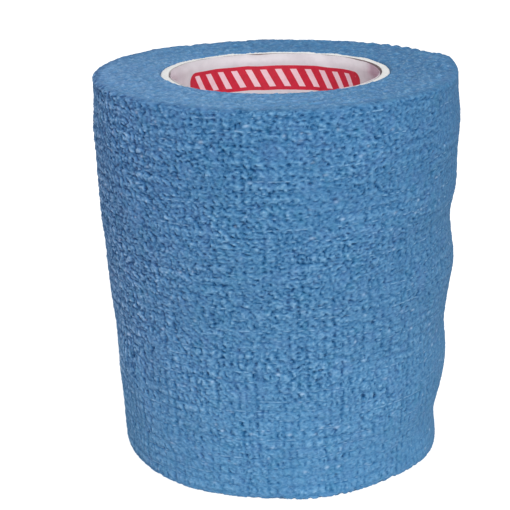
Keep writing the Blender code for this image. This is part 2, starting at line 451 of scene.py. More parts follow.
def flecks(angle, height):
    """Pale tufts where the surface fibres bunch, scattered over the flank."""
    rng = np.random.default_rng(51)
    total = np.zeros(angle.shape)
    columns = angle.shape[1]
    heights = height[:, 0]
    for _ in range(560):
        at, up = rng.uniform(0, columns), rng.uniform(1.0, 74.0)
        wide, high = rng.uniform(0.20, 0.44), rng.uniform(0.14, 0.26)
        strong = rng.uniform(0.25, 1.0) ** 1.3
        j = (int(at) + np.arange(-6, 7)) % columns
        rows = np.nonzero(np.abs(heights - up) < 0.8)[0]
        dx = (int(at) + np.arange(-6, 7) - at) * 2 * math.pi * UNROLL / columns
        dy = heights[rows] - up
        spot = strong * np.exp(-((dx[None, :] / wide) ** 2) - ((dy[:, None] / high) ** 2))
        total[np.ix_(rows, j)] = np.maximum(total[np.ix_(rows, j)], spot)
    return total


def flank_broad(angle, height):
    """The outer turn's slow unevenness, and the step at the strip's end."""
    past = from_tail(angle)
    along = way_round(angle)
    near = np.where(past < math.pi, past, past - 2 * math.pi)
    ramp = np.exp(-((np.degrees(np.abs(near)) / 38.0) ** 2))
    step = np.where(near < 0, 0.5, -0.5) * TAIL_STEP * ramp
    return 0.07 * BROAD.at(along * 0.8, height * 0.8) + step


# ------------------------------------------------------------ turns on the ends
EDGE_PUCKER = lines_of_waves(31, 24, 0.50, 0.22, 0.25)
EDGE_WANDER = lines_of_waves(32, 24, 0.16, 0.10, 0.55)
EDGE_SCALLOP = lines_of_waves(36, 1, 0.36, 0.05)
BASE_SCALLOP = lines_of_waves(37, 1, 0.26, 0.18)
BASE_FRINGE = lines_of_waves(38, 1, 0.62, 0.30)
EDGE_LEVEL = lines_of_waves(33, 24, 0.030, 0.025, 0.10)
FELT = Field(waves(34, ring(0.42, 0.20)))
FELT_FINE = Field(waves(35, ring(1.10, 0.40)))


def turns(angle, share, offset):
    """Relief across an end face: the strip's edges, turn on turn."""
    past = from_tail(angle)
    radius = CLOTH_BORE + share * (UNROLL - CLOTH_BORE)
    along = past * radius
    t = TURNS * share - past / (2 * math.pi) + 1.0
    t = t + 0.13 * along_line(EDGE_WANDER, np.round(t).astype(int) + offset, along)
    turn = np.floor(t).astype(int)
    between = t - turn
    ridge = 1 - np.abs(2 * between - 1) ** 2.6
    pucker = along_line(EDGE_PUCKER, turn + offset, along + 7.0 * turn)
    level = along_line(EDGE_LEVEL, turn + offset, along + 3.0 * turn)
    x, y = radius * np.cos(angle) + 60.0 + 40.0 * offset, radius * np.sin(angle) + 45.0
    felt = FELT.at(x, y)
    fine = FELT_FINE.at(x, y)
    relief = 0.18 * (ridge - 0.72) + 0.22 * pucker * ridge + 0.24 * level + 0.50 * felt + 0.40 * fine
    return relief


# ------------------------------------------------------------- the wound body
def outer_profile():
    """Rows up the outer side, over the shoulder and a little way in across the
    upper end: inset, height, the outward direction, and the way along the cloth."""
    rows = []
    for i in range(4):
        a = math.radians(-90 + 90 * i / 4)
        rows.append((-SHOULDER_BASE * (1 - math.cos(a)), SHOULDER_BASE * (1 + math.sin(a)), math.cos(a), math.sin(a),
                     SHOULDER_BASE * (1 + a)))
    low, high = SHOULDER_BASE, CLOTH_WIDTH - SHOULDER_TOP
    for i in range(FLANK_ROWS + 1):
        z = low + (high - low) * i / FLANK_ROWS
        rows.append((0.0, z, 1.0, 0.0, z))
    for i in range(1, 8):
        a = math.radians(90 * i / 7)
        out = Vector((SHOULDER_TOP * math.cos(a), SHOULDER_IN * math.sin(a))).normalized()
        rows.append((-SHOULDER_IN * (1 - math.cos(a)), high + SHOULDER_TOP * math.sin(a), out.x, out.y,
                     high + 0.5 * (SHOULDER_TOP + SHOULDER_IN) * a))
    for i in range(1, 8):
        inward = RIM_BAND * i / 7
        rows.append((-SHOULDER_IN - inward, CLOTH_WIDTH, 0.0, 1.0, rows[-1][4] + RIM_BAND / 7))
    return np.array(rows)


def outer_radius(angle, height):
    return by_direction(OUTLINE, height, angle) + swelling(angle, height)


def winding():
    """The whole outer surface as arrays: fine rows up the flank, then coarser
    rows over the top, down the bore and out across the base."""
    profile = outer_profile()
    angle = np.arange(COLUMNS) * 2 * math.pi / COLUMNS
    A, Z = np.broadcast_arrays(angle[None, :], profile[:, 1][:, None])
    inset, out_r, out_z, way = (profile[:, i][:, None] for i in (0, 2, 3, 4))
    W = way + 0 * A
    share = (NOMINAL_RADIUS + inset - CLOTH_BORE) / (NOMINAL_RADIUS - CLOTH_BORE) + 0 * A

    # columns lean a little beside the strip's end, so that its edge isn't ruled
    near = (A - math.radians(TAIL_AT) + math.pi) % (2 * math.pi) - math.pi
    ragged = 0.28 * RAGGED.at(Z * 0.45, np.full_like(Z, 9.0)) + 0.35 * BROAD.at(Z * 1.3, np.full_like(Z, 21.0))
    lean = ragged / UNROLL * np.exp(-((near * UNROLL / 4.0) ** 2))
    around = A + lean

    # the crinkle runs over the shoulder and gives way to the edges of the turns
    relief, slope_light_paint, (shown, course_sin, course_cos) = crinkle(A, W)
    past = from_tail(A)
    inward = W - (CLOTH_WIDTH - 0.35)
    inward = inward + 0.30 * BROAD.at(past * UNROLL * 2.4, np.full_like(A, 12.0)) + 0.12 * RAGGED.at(past * UNROLL, W)
    ended = np.where(Z > 40, smoothstep(inward, 0.0, 2.4), smoothstep(-out_z + 0 * A, 0.15, 1.0))
    across = turns(A, share, 0)
    base = CLOTH_BORE + share * (outer_radius(A, Z) - CLOTH_BORE) + flank_broad(A, Z)
    fade = smoothstep(Z, CLOTH_WIDTH - 6.0, CLOTH_WIDTH)
    lifted = end_face(A, share) * fade

    edge = (1.0 - 0.30 * smoothstep(1.6 - Z, 0.0, 1.4)) * (1 - 0.85 * ended)
    flat_side = np.exp(-((((np.degrees(A) + 4.0 + 180.0) % 360.0 - 180.0) / 24.0) ** 2))
    edge = edge * (1 - 0.55 * flat_side * smoothstep(W, 64.0, 72.0))
    fleck = flecks(A, Z) * (1 - ended)
    leftward = (-np.cos(A + math.radians(12))).clip(0, 1)
    # painted shade: the colour's contrast from the relief is stronger on the left flank
    left_shade_contrast = 1 + 0.20 * leftward**2 * smoothstep(Z, 6.0, 34.0)
    height = PUCKER * relief * edge * (1 - 0.34 * leftward**2) + 0.05 * fleck - 0.02 - 0.16 * leftward**2
    height = height + np.where(Z > 40, 0.15 * across * smoothstep(inward, 0.4, 2.4), 0.0)
    waved = np.exp(-(((np.degrees(A) - 30.0) / 22.0) ** 2))
    scallop = 0.03 * along_line(EDGE_PUCKER, 20, past * UNROLL * 0.8) + 0.05 * BROAD.at(past * UNROLL * 1.5, np.full_like(A, 60.0))
    scallop = scallop + 0.17 * waved * along_line(EDGE_SCALLOP, 0, past * UNROLL)
    scallop = scallop * (1 - smoothstep(inward, 0.8, 2.6))
    smooth_back = np.exp(-(((np.degrees(A) - 125.0) / 55.0) ** 2))
    calm = 1 - (0.50 + 0.40 * smooth_back) * (1 - smoothstep(inward, 0.8, 2.6)) * out_z
    up = out_z * np.where(Z > 40, height * calm + scallop, np.minimum(height - 0.12, 0.0))
    steady = 1 - 0.75 * smooth_back * smoothstep(W, CLOTH_WIDTH - 2.2, CLOTH_WIDTH - 0.8)
    radius = base + out_r * height * steady
    front = np.exp(-((((np.degrees(A) - 283.0 + 180.0) % 360.0 - 180.0) / 24.0) ** 2))
    notched = (0.13 + 0.16 * front) * along_line(BASE_SCALLOP, 0, past * UNROLL).clip(0, 1.8)
    notched = notched + (0.04 + 0.18 * front) * along_line(BASE_FRINGE, 0, past * UNROLL).clip(-0.1, 1.5)
    z = np.maximum(Z + lifted + up, 0.0) + notched.clip(0, None) * smoothstep(1.2 - Z, 0.0, 1.1)
    fine = np.stack([radius * np.cos(around), radius * np.sin(around), z], -1)
    fine_facts = {
        # the relief attribute drives painted shade and light: dark in the pits, pale on the ridges, plus the painted
        # top light
        "relief": np.clip(0.5 + (0.274 * left_shade_contrast * relief + PAINTED_TOP_LIGHT * slope_light_paint) * edge * (1 - ended) + 0.22 * across * ended, 0, 1),
        "shown": shown * (1 - ended),
        "course_sin": course_sin,
        "course_cos": course_cos,
        "along": way_round(A),
        "up": W,
        "fleck": fleck,
        "ending": ended,
    }

    # coarser rows
    angle2 = angle[::2]
    rows, facts, kinds = [], [], []
    share_of_last = share[-1, 0]

    def end_row(share, top, depth, kind):
        A2 = angle2
        relief = turns(A2, np.full(A2.shape, share), 0 if top else 3)
        soft = smoothstep(np.array(share), 0.0, 0.06) * (1 - 0.35 * smoothstep(np.array(share), 0.90, 1.0))
        z0 = CLOTH_WIDTH if top else 0.0
        outer = outer_radius(A2, np.full(A2.shape, z0)) + flank_broad(A2, np.full(A2.shape, z0)) * share
        r = CLOTH_BORE + share * (outer - CLOTH_BORE)
        if top:
            z = z0 + end_face(A2, np.full(A2.shape, share)) + depth * relief * soft
        else:
            z = np.maximum(depth * (0.9 - relief) * soft * 0.8, 0.0)
        rows.append(np.stack([r * np.cos(A2), r * np.sin(A2), z], -1))
        way_in = W[-1, 0] + (share_of_last - share) * (NOMINAL_RADIUS - CLOTH_BORE)
        facts.append((np.clip(0.5 + 0.22 * relief, 0, 1), from_tail(A2) * r, np.full(A2.shape, way_in), np.ones_like(A2)))
        kinds.append(kind)

    start = share[-1, 0] - 0.020
    lip = 0.028
    for i in range(TOP_RINGS + 1):
        end_row(start + (lip - start) * i / TOP_RINGS, True, 0.15, "top")

    def bore_row(r, z):
        up = end_face(angle2, np.zeros_like(angle2)) * (z > CLOTH_WIDTH - 1.0)
        rows.append(np.stack([r * np.cos(angle2), r * np.sin(angle2), z + up], -1))
        facts.append((np.full(angle2.shape, 0.50), from_tail(angle2) * r, np.full(angle2.shape, z), np.ones_like(angle2)))
        kinds.append("bore")

    bore_row(CLOTH_BORE + 0.10, CLOTH_WIDTH - 0.10)
    bore_row(CLOTH_BORE, CLOTH_WIDTH - 0.34)
    bore_row(CLOTH_BORE, CLOTH_WIDTH - 1.5)
    bore_row(CLOTH_BORE, 1.5)
    bore_row(CLOTH_BORE, 0.34)
    bore_row(CLOTH_BORE + 0.10, 0.10)
    start = (NOMINAL_RADIUS - SHOULDER_BASE - CLOTH_BORE) / (NOMINAL_RADIUS - CLOTH_BORE) - 0.02
    for i in range(BASE_RINGS + 1):
        end_row(lip + (start - lip) * i / BASE_RINGS, False, 0.16, "base")

    coarse = np.array(rows)
    coarse_facts = {key: np.array([f[i] for f in facts]) for i, key in enumerate(("relief", "along", "up", "ending"))}
    for key in ("shown", "course_sin", "course_cos", "fleck"):
        coarse_facts[key] = np.zeros_like(coarse_facts["relief"])
    return fine, fine_facts, coarse, coarse_facts, kinds


def surface_faces(n_fine, n_coarse, fine_cols, coarse_cols, closed):
    """Faces over a run of columns, as arrays of vertex numbers, with the chart
    that each belongs to."""
    base = n_fine * fine_cols

    def fine(i, j):
        return i * fine_cols + (j % fine_cols if closed else j)

    def coarse(i, j):
        return base + i * coarse_cols + (j % coarse_cols if closed else j)

    nf = fine_cols if closed else fine_cols - 1
    nc = coarse_cols if closed else coarse_cols - 1
    i, j = np.meshgrid(np.arange(n_fine - 1), np.arange(nf), indexing="ij")
    quads_fine = np.stack([fine(i, j), fine(i, j + 1), fine(i + 1, j + 1), fine(i + 1, j)], -1).reshape(-1, 4)
    i, j = np.meshgrid(np.arange(n_coarse - 1), np.arange(nc), indexing="ij")
    quads_coarse = np.stack([coarse(i, j), coarse(i, j + 1), coarse(i + 1, j + 1), coarse(i + 1, j)], -1).reshape(-1, 4)
    quad_rows = i.reshape(-1)
    c = np.arange(nc)
    a, b = n_fine - 1, 0
    over = np.concatenate([
        np.stack([fine(a, 2 * c), fine(a, 2 * c + 1), coarse(b, c)], -1),
        np.stack([fine(a, 2 * c + 1), coarse(b, c + 1), coarse(b, c)], -1),
        np.stack([fine(a, 2 * c + 1), fine(a, 2 * c + 2), coarse(b, c + 1)], -1),
    ])
    a, b = 0, n_coarse - 1
    under = np.concatenate([
        np.stack([coarse(b, c), fine(a, 2 * c + 1), fine(a, 2 * c)], -1),
        np.stack([coarse(b, c), coarse(b, c + 1), fine(a, 2 * c + 1)], -1),
        np.stack([coarse(b, c + 1), fine(a, 2 * c + 2), fine(a, 2 * c + 1)], -1),
    ])
    return quads_fine, quads_coarse, quad_rows, over, under


def vertex_normals(points, *groups):
    normals = np.zeros_like(points)
    for faces in groups:
        p = points[faces]
        if faces.shape[1] == 4:
            n = np.cross(p[:, 2] - p[:, 0], p[:, 3] - p[:, 1])
        else:
            n = np.cross(p[:, 1] - p[:, 0], p[:, 2] - p[:, 0])
        for corner in range(faces.shape[1]):
            for axis in range(3):
                normals[:, axis] += np.bincount(faces[:, corner], n[:, axis], len(points))
    return normals / np.maximum(np.linalg.norm(normals, axis=1), 1e-12)[:, None]


def mesh_object(name, points, faces, material, values=None, uv=None, normals=None):
    """An object from arrays. faces is a list of face lists, values are point
    attributes, uv and normals have one row for each corner."""
    mesh = bpy.data.meshes.new(name)
    mesh.from_pydata((np.asarray(points) * MM).tolist(), [], faces)
    for key, value in (values or {}).items():
        attribute = mesh.attributes.new(key, "FLOAT", "POINT")
        attribute.data.foreach_set("value", np.asarray(value, np.float32).ravel())
    if uv is not None:
        layer = mesh.uv_layers.new(name="OFBake")
        layer.uv.foreach_set("vector", np.asarray(uv, np.float32).ravel())
    mesh.materials.append(material)
    mesh.shade_smooth()
    if normals is not None:
        mesh.normals_split_custom_set(np.asarray(normals, np.float32).tolist())
    mesh.update()
    made = bpy.data.objects.new(name, mesh)
    bpy.context.scene.collection.objects.link(made)
    return made


def wound_pieces(material):
    """The winding as four closed quarters that meet without a seam."""
    fine, fine_facts, coarse, coarse_facts, kinds = winding()
    n_fine, n_coarse = len(fine), len(coarse)
    whole = np.concatenate([fine.reshape(-1, 3), coarse.reshape(-1, 3)])
    qf, qc, _, over, under = surface_faces(n_fine, n_coarse, COLUMNS, COLUMNS // 2, True)
    normals = vertex_normals(whole, qf, qc, over, under)
    fine_normals = normals[: n_fine * COLUMNS].reshape(n_fine, COLUMNS, 3)
    coarse_normals = normals[n_fine * COLUMNS:].reshape(n_coarse, COLUMNS // 2, 3)

    kinds = np.array(kinds)
    step = np.linalg.norm(np.diff(fine[:, 0], axis=0), axis=1)
    flank_share = np.concatenate([[0], np.cumsum(step)]) / step.sum()
    top_n, base_n = (kinds == "top").sum(), (kinds == "base").sum()
    bore_from = top_n - 1
    bore_n = (kinds == "bore").sum()

    made = []
    per_f, per_c = COLUMNS // 4, COLUMNS // 8
    begin = COLUMNS // 8
    for q, name in enumerate(("bandage_back", "bandage_left", "bandage_front", "bandage_right")):
        jf = (begin + q * per_f + np.arange(per_f + 1)) % COLUMNS
        jc = (begin // 2 + q * per_c + np.arange(per_c + 1)) % (COLUMNS // 2)
        points = np.concatenate([fine[:, jf].reshape(-1, 3), coarse[:, jc].reshape(-1, 3)])
        point_normals = np.concatenate([fine_normals[:, jf].reshape(-1, 3), coarse_normals[:, jc].reshape(-1, 3)])
        values = {
            key: np.concatenate([fine_facts[key][:, jf].ravel(), coarse_facts[key][:, jc].ravel()])
            for key in fine_facts
        }
        fc, cc = per_f + 1, per_c + 1
        qf, qc, rows, over, under = surface_faces(n_fine, n_coarse, fc, cc, False)
        loop = np.concatenate([np.arange(n_fine) * fc, n_fine * fc + np.arange(n_coarse) * cc])
        first_wall = loop
        last_wall = np.concatenate([np.arange(n_fine) * fc + fc - 1, n_fine * fc + np.arange(n_coarse) * cc + cc - 1])[::-1]

        # charts, one for the flank, the top, the bore, the base and each wall
        fine_i = np.arange(n_fine * fc) // fc
        fine_c = (np.arange(n_fine * fc) % fc) / per_f
        coarse_i = np.arange(n_coarse * cc) // cc
        coarse_c = (np.arange(n_coarse * cc) % cc) / per_c
        around = np.concatenate([fine_c, coarse_c])
        flank = np.stack([0.005 + 0.68 * around, np.concatenate([0.005 + 0.99 * flank_share[fine_i], 0 * coarse_c])], -1)
        inward = np.concatenate([np.zeros(len(fine_c)), (coarse_i + 1) / top_n])
        top = np.stack([0.70 + 0.15 * inward, 0.01 + 0.57 * around], -1)
        down = np.concatenate([np.zeros(len(fine_c)), (coarse_i - bore_from) / (bore_n + 1)])
        bore = np.stack([0.70 + 0.28 * down, 0.60 + 0.20 * around], -1)
        outward = np.concatenate([np.ones(len(fine_c)), (coarse_i - (n_coarse - base_n)) / base_n])
        base = np.stack([0.87 + 0.11 * outward, 0.01 + 0.57 * around], -1)
        radius = np.hypot(points[:, 0], points[:, 1])
        wall_u, wall_v = (radius - 21.5) / (37.0 - 21.5), points[:, 2] / 75.6

        in_top = rows < bore_from
        in_bore = (rows >= bore_from) & (rows < bore_from + bore_n + 1)
        groups = [(qf, flank), (qc[in_top], top), (qc[in_bore], bore), (qc[~in_top & ~in_bore], base), (over, top), (under, base)]
        faces, uv, corner_normals = [], [], []
        for some, chart in groups:
            faces += some.tolist()
            uv.append(chart[some.ravel()])
            corner_normals.append(point_normals[some.ravel()])
        for wall, at in ((first_wall, 0.70), (last_wall, 0.85)):
            p = points[wall]
            middle = p[:, :2].sum(0)
            direction = math.atan2(middle[1], middle[0])
            sign = -1.0 if at == 0.70 else 1.0
            facing = np.array([-math.sin(direction), math.cos(direction), 0.0]) * sign
            faces.append(wall.tolist())
            uv.append(np.stack([at + 0.13 * wall_u[wall], 0.82 + 0.17 * wall_v[wall]], -1))
            corner_normals.append(np.tile(facing, (len(wall), 1)))
        made.append(mesh_object(name, points, faces, material, values, np.concatenate(uv), np.concatenate(corner_normals)))
    return made


# --------------------------------------------------------------- card and paper
CARD = Field(waves(51, ring(0.10, 0.08)))
CARD_FINE = Field(waves(52, ring(0.9, 0.4)))


def turned_rows(name, rows, columns, material, values=None, closed_profile=True, span=None):
    """A closed band of rows (each columns x 3, in mm) as a mesh. With span the
    columns stop short of a full turn and the two ends are closed."""
    rows = np.array(rows)
    n = len(rows)
    full = span is None
    cols = columns
    i, j = np.meshgrid(np.arange(n), np.arange(cols if full else cols - 1), indexing="ij")
    k, l = (i + 1) % n, (j + 1) % cols
    faces = np.stack([i * cols + j, i * cols + l, k * cols + l, k * cols + j], -1).reshape(-1, 4).tolist()
    if not full:
        faces.append((np.arange(n) * cols).tolist())
        faces.append((np.arange(n) * cols + cols - 1)[::-1].tolist())
    return mesh_object(name, rows.reshape(-1, 3), faces, material, values)


def card_core(material):
    """Spiral-wound card tube: an uneven cut rim and the joints of its plies."""
    columns = 432
    angle = np.arange(columns) * 2 * math.pi / columns
    top, low = CLOTH_WIDTH - CORE_RECESS, CORE_RECESS
    wall = CORE_RADIUS - CORE_BORE
    along = angle * CORE_RADIUS
    rise = 0.05 * CARD.at(along, np.full(columns, 8.0)) + 0.022 * CARD_FINE.at(along, np.full(columns, 30.0))
    rise = np.clip(rise, -0.12, 0.12) + core_lift(angle)

    left = math.pi - np.abs((angle + math.pi) % (2 * math.pi) - math.pi)   # away from -X
    lip = 0.26 * np.exp(-((np.degrees(left) / 28.0) ** 2))                 # the rim's burr there

    def row(across, z, extra=0.0, burr=0.0):
        """across runs from the bore (0) to the outside (1)."""
        inner = CORE_BORE - burr * lip
        r = inner + across * (CORE_RADIUS - inner) + extra
        x = r * np.cos(angle) - CORE_SHIFT * (1 - across)
        return np.stack([x, r * np.sin(angle), np.broadcast_to(z, (columns,))], -1)

    rows, tone, gap_shadow = [], [], []
    spread = np.linspace(0, 1, 9)
    # up the outside
    for z in (low + 0.25, 20.0, 55.0, top - 0.30):
        rows.append(row(1.0, z)); tone.append(0.0); gap_shadow.append(0.0 * left)
    # in over the rim
    for s in spread[::-1]:
        drop = 0.16 * abs(2 * s - 1) ** 6 + 0.05
        fray = 0.030 * CARD_FINE.at(along * 1.6 + 31.0 * s, np.full(columns, 12.0 + 20 * s))
        rows.append(row(0.02 + 0.96 * s, top - drop + rise + fray, burr=1.0)); tone.append(1.0); gap_shadow.append(0.0 * left)
    # down the bore
    # painted shadow: the top of the bore is coloured dark where it lies in shade behind the liner's edge, less so on
    # the left, with a darker spot at the far left
    darkness = 1.0 - 0.36 * np.exp(-((np.degrees(left) / 55.0) ** 2)) + 0.22 * np.exp(-((np.degrees(left) / 6.0) ** 2))
    for z in np.concatenate([[top - 0.10], np.linspace(top - 1.0, low + 1.0, 26), [low + 0.35]]):
        seam = ((along / 1.0 + z * 0.9) % 34.0) / 34.0
        step = 0.05 * np.exp(-(((seam - 0.5) * 34.0 / 0.5) ** 2))
        lifted = z + core_lift(angle) * (z > top - 0.5)
        rows.append(row(0.0, lifted, step, 1.0 if z > top - 0.5 else 0.0)); tone.append(0.0)
        gap_shadow.append(darkness if z > top - 3.0 else 0.0 * left)
    # out over the lower rim
    for s in spread:
        drop = 0.16 * abs(2 * s - 1) ** 6 + 0.05
        rows.append(row(0.02 + 0.96 * s, low + drop)); tone.append(1.0); gap_shadow.append(0.0 * left)
    values = {"cut": np.repeat(np.array(tone), columns), "gap_shadow": np.concatenate(gap_shadow)}
    made = turned_rows("card_core", rows, columns, material, values)
    return made


def paper_liner(material):
    """Thin printed paper inside the tube, with its two cut edges a little apart
    on the near side and its upper edge lifting off the card in places."""
    columns = 420
    gap = math.degrees(LINER_SEAM / 20.3)
    degrees = np.linspace(LINER_SEAM_AT + gap / 2, LINER_SEAM_AT + 360 - gap / 2, columns)
    angle = np.radians(degrees)
    top, low = CLOTH_WIDTH - CORE_RECESS - LINER_RECESS, CORE_RECESS + LINER_RECESS
    along = (degrees - degrees[0]) / 360.0 * 2 * math.pi * 20.3
    rise = 0.05 * CARD.at(along + 60.0, np.full(columns, 30.0)) + core_lift(angle)
    heights = np.concatenate([low + (top - low) * np.linspace(0, 1, 30) ** 0.8])
    around = (degrees + 180.0) % 360.0 - 180.0

    def lifted(z):
        near = np.exp(-((top - z) / 4.0) ** 2)
        loose = 0.46 * np.exp(-(((around - 8.0) / 16.0) ** 2)) + 0.18 * np.exp(-(((around - 42.0) / 15.0) ** 2))
        loose = loose + 0.22 * np.exp(-(((around - 98.0) / 6.0) ** 2)) + 0.08 * np.exp(-(((around - 136.0) / 12.0) ** 2))
        loose = loose + 0.34 * np.exp(-(((180.0 - np.abs(around)) / 34.0) ** 2)) + 0.10 * np.exp(-(((180.0 - np.abs(around)) / 6.0) ** 2))
        ripple = 0.035 * CARD.at(along * 0.9, np.full(columns, z * 0.9))
        return 20.44 - near * loose - 0.03 + ripple * 0.6

    # its upper edge isn't cut quite straight
    drop = 0.17 * np.exp(-(((around - 24.0) / 23.0) ** 4)) + 0.05 * np.exp(-(((around - 146.0) / 15.0) ** 4))
    drop = drop + 0.16 * np.exp(-(((around - 100.0) / 4.0) ** 4)) + 0.26 * np.exp(-(((180.0 - np.abs(around)) / 5.0) ** 2))

    def level(z):
        return z + rise * (z > 40) - drop * math.exp(-(((top - z) / 2.5) ** 2))

    rows, lines = [], []
    for z in heights:  # the side towards the card, upward
        r = np.minimum(lifted(z) + 0.06, 20.50)
        rows.append(np.stack([r * np.cos(angle) - CORE_SHIFT, r * np.sin(angle), level(z)], -1))
        lines.append(z)
    for z in heights[::-1]:  # the printed side, downward
        r = np.minimum(lifted(z) + 0.06, 20.50) - 0.12
        rows.append(np.stack([r * np.cos(angle) - CORE_SHIFT, r * np.sin(angle), level(z)], -1))
        lines.append(z)
    values = {
        "arc": np.tile((around - 90.0 + 180.0) % 360.0 - 180.0, len(rows)) * math.radians(1.0) * 20.3,
        "height": np.repeat(np.array(lines), columns) + np.tile(0.28 * np.cos(angle).clip(0, None) ** 2, len(rows)),
    }
    # the jump from one end of the arc's scale to the other lies where nothing is printed
    return turned_rows("paper_liner", rows, columns, material, values, span=True)


# ------------------------------------------------------------------- materials
class Nodes:
    """Short words for building a node tree."""

    def __init__(self, name):
        self.material = bpy.data.materials.new(name)
        self.material.use_nodes = True
        self.tree = self.material.node_tree
        self.tree.nodes.clear()
        self.out = self.tree.nodes.new("ShaderNodeOutputMaterial")
        self.shader = self.tree.nodes.new("ShaderNodeBsdfPrincipled")
        self.join(self.shader.outputs[0], self.out.inputs["Surface"])

    def join(self, source, socket):
        self.tree.links.new(source, socket)

    def put(self, socket, value):
        if isinstance(value, bpy.types.NodeSocket):
            self.join(value, socket)
        elif value is not None:
            socket.default_value = value

    def set(self, **values):
        for key, value in values.items():
            self.put(self.shader.inputs[key.replace("_", " ")], value)

    def math(self, operation, a, b=None, c=None, clamp=False):
        node = self.tree.nodes.new("ShaderNodeMath")
        node.operation = operation
        node.use_clamp = clamp
        for socket, value in zip(node.inputs, (a, b, c)):
            self.put(socket, value)
        return node.outputs[0]

    def value(self, name):
        node = self.tree.nodes.new("ShaderNodeAttribute")
        node.attribute_name = name
        return node.outputs["Fac"]

    def place(self):
        return self.tree.nodes.new("ShaderNodeTexCoord").outputs["Object"]

    def combined(self, x, y):
        node = self.tree.nodes.new("ShaderNodeCombineXYZ")
        self.join(x, node.inputs[0])
        self.join(y, node.inputs[1])
        return node.outputs[0]

    def scaled(self, vector, scale):
        node = self.tree.nodes.new("ShaderNodeMapping")
        self.join(vector, node.inputs["Vector"])
        node.inputs["Scale"].default_value = scale
        return node.outputs[0]

    def moved(self, vector, offset):
        node = self.tree.nodes.new("ShaderNodeMapping")
        self.join(vector, node.inputs["Vector"])
        node.inputs["Location"].default_value = offset
        return node.outputs[0]

    def stretched(self, scale):
        return self.scaled(self.place(), scale)

    def noise(self, scale, detail=3.0, roughness=0.5, vector=None, distortion=0.0):
        node = self.tree.nodes.new("ShaderNodeTexNoise")
        self.join(vector or self.place(), node.inputs["Vector"])
        node.inputs["Scale"].default_value = scale
        node.inputs["Detail"].default_value = detail
        node.inputs["Roughness"].default_value = roughness
        node.inputs["Distortion"].default_value = distortion
        return node.outputs["Fac"]

    def ramp(self, factor, *stops, interpolation="LINEAR"):
        node = self.tree.nodes.new("ShaderNodeValToRGB")
        node.color_ramp.interpolation = interpolation
        elements = node.color_ramp.elements
        while len(elements) > 1:
            elements.remove(elements[-1])
        for k, (at, colour) in enumerate(stops):
            element = elements[0] if k == 0 else elements.new(at)
            element.position = at
            element.color = (*colour, 1.0) if len(colour) == 3 else colour
        self.join(factor, node.inputs["Fac"])
        return node.outputs["Color"]

    def mix(self, factor, a, b, blend="MIX"):
        node = self.tree.nodes.new("ShaderNodeMix")
        node.data_type = "RGBA"
        node.blend_type = blend
        self.put(node.inputs[0], factor)
        for socket, value in ((node.inputs[6], a), (node.inputs[7], b)):
            self.put(socket, (*value, 1.0) if isinstance(value, tuple) and len(value) == 3 else value)
        return node.outputs[2]

    def between(self, value, low, high, to_low=0.0, to_high=1.0):
        node = self.tree.nodes.new("ShaderNodeMapRange")
        self.put(node.inputs["Value"], value)
        for key, number in (("From Min", low), ("From Max", high), ("To Min", to_low), ("To Max", to_high)):
            node.inputs[key].default_value = number
        return node.outputs["Result"]

    def spots(self, vector):
        """Distance to the nearest of many scattered points."""
        node = self.tree.nodes.new("ShaderNodeTexVoronoi")
        node.voronoi_dimensions = "2D"
        node.inputs["Scale"].default_value = 1.0
        node.inputs["Randomness"].default_value = 0.85
        self.join(vector, node.inputs["Vector"])
        return node.outputs["Distance"]

    def wavy(self, vector, scale, amount):
        """The same places, shifted unevenly."""
        node = self.tree.nodes.new("ShaderNodeTexNoise")
        node.inputs["Scale"].default_value = scale
        node.inputs["Detail"].default_value = 1.0
        self.join(vector, node.inputs["Vector"])
        shift = self.tree.nodes.new("ShaderNodeVectorMath")
        shift.operation = "MULTIPLY_ADD"
        self.join(node.outputs["Color"], shift.inputs[0])
        shift.inputs[1].default_value = (amount, amount, 0.0)
        self.join(vector, shift.inputs[2])
        return shift.outputs[0]

    def bump(self, height, distance, strength=1.0):
        node = self.tree.nodes.new("ShaderNodeBump")
        self.join(height, node.inputs["Height"])
        node.inputs["Distance"].default_value = distance
        node.inputs["Strength"].default_value = strength
        self.join(node.outputs[0], self.shader.inputs["Normal"])


def srgb(*levels):
    """Linear colour of an 8-bit display colour."""
    out = []
    for level in levels:
        c = level / 255.0
        out.append(c / 12.92 if c <= 0.04045 else ((c + 0.055) / 1.055) ** 2.4)
    return tuple(out)


